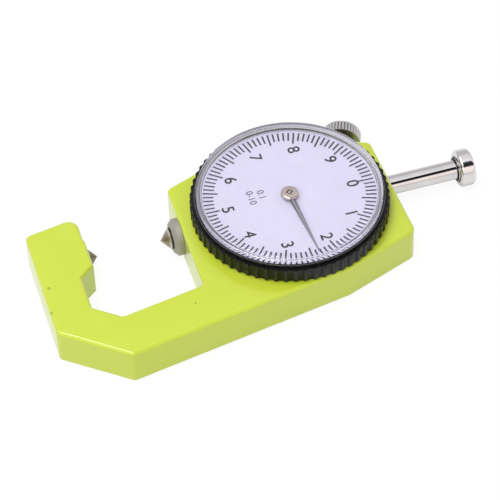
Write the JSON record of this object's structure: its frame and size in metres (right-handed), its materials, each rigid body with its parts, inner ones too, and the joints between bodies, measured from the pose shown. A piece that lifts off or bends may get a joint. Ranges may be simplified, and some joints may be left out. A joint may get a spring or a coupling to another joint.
{
  "type": "dial thickness gauge",
  "caption": "Dial thickness gauge: C-shaped painted frame with a pointed anvil, a sliding rack spindle with pointed tip and lifting knob, a turning knurled bezel, and a lock screw.",
  "frame": {"origin": "where the pointer's axis meets the flat back of the gauge", "axes": "+X along the spindle from the pointed tip towards the lifting knob; +Y from the frame's beam towards the lock screw, across the spindle; +Z out of the dial's face"},
  "size_m": [0.0874, 0.0458, 0.0128],
  "materials": {
    "green_paint": "thick glossy lime-green enamel on a casting",
    "cover_steel": "thin sheet, fine brushed",
    "plate_brass": "stamped brass",
    "bushing_bronze": "turned bearing bronze",
    "spindle_chrome": "ground and chromed",
    "pin_steel": "hardened pin",
    "tip_steel": "hardened, turned with fine rings",
    "collar_grey": "dull zinc grey",
    "knob_chrome": "turned and chromed",
    "spring_steel": "drawn wire and strip",
    "arbor_steel": "turned, with milled teeth",
    "needle_paint": "thin dark enamel",
    "hub_nickel": "nickelled",
    "bezel_black": "glossy black",
    "dial_white": "satin white with dark printed divisions and figures",
    "crystal_clear": "clear and polished",
    "lock_nickel": "nickelled, straight knurl"
  },
  "bodies": {
    "gauge_body": {"frame": "green_paint", "anvil_point": "tip_steel", "back_cover": "cover_steel", "movement_plate": "plate_brass", "guide_rail": "plate_brass", "front_bushing": "bushing_bronze", "rear_bushing": "bushing_bronze", "arbor_bushing": "bushing_bronze", "spring_post": "pin_steel", "return_spring": "spring_steel", "hairspring_stud": "plate_brass", "hairspring": "spring_steel", "bezel_snap_ring": "spring_steel"},
    "spindle_group": {"spindle": "spindle_chrome", "tip_collar": "collar_grey", "contact_point": "tip_steel", "lifting_knob": "knob_chrome", "guide_pin": "pin_steel"},
    "pointer_group": {"pinion_arbor": "arbor_steel", "hairspring_collet": "plate_brass", "pointer_hub": "hub_nickel", "pointer_needle": "needle_paint"},
    "bezel_group": {"bezel": "bezel_black", "dial_plate": "dial_white", "crystal": "crystal_clear"},
    "lock_group": {"lock_screw": "lock_nickel"}
  },
  "joints": [
    {"name": "spindle_slide", "type": "slide", "parent": "gauge_body", "child": "spindle_group", "axis": [1, 0, 0], "range_m": [-0.01234, 0], "deforming": ["return_spring"]},
    {"name": "pointer_turn", "type": "hinge", "parent": "gauge_body", "child": "pointer_group", "pos_m": [0, 0, 0.0108], "axis": [0, 0, 1], "range_deg": [0, 444.3], "deforming": ["hairspring"]},
    {"name": "bezel_turn", "type": "hinge", "parent": "gauge_body", "child": "bezel_group", "pos_m": [0, 0, 0.0096], "axis": [0, 0, 1], "continuous": true},
    {"name": "lock_screw_turn", "type": "hinge", "parent": "gauge_body", "child": "lock_group", "pos_m": [0.01458, 0.01394, 0.0039], "axis": [0.3818, 0.9242, 0], "range_deg": [0, 360]}
  ],
  "couplings": [
    {"joint": "pointer_turn", "follows": "spindle_slide", "rad_per_m": -628.32}
  ]
}
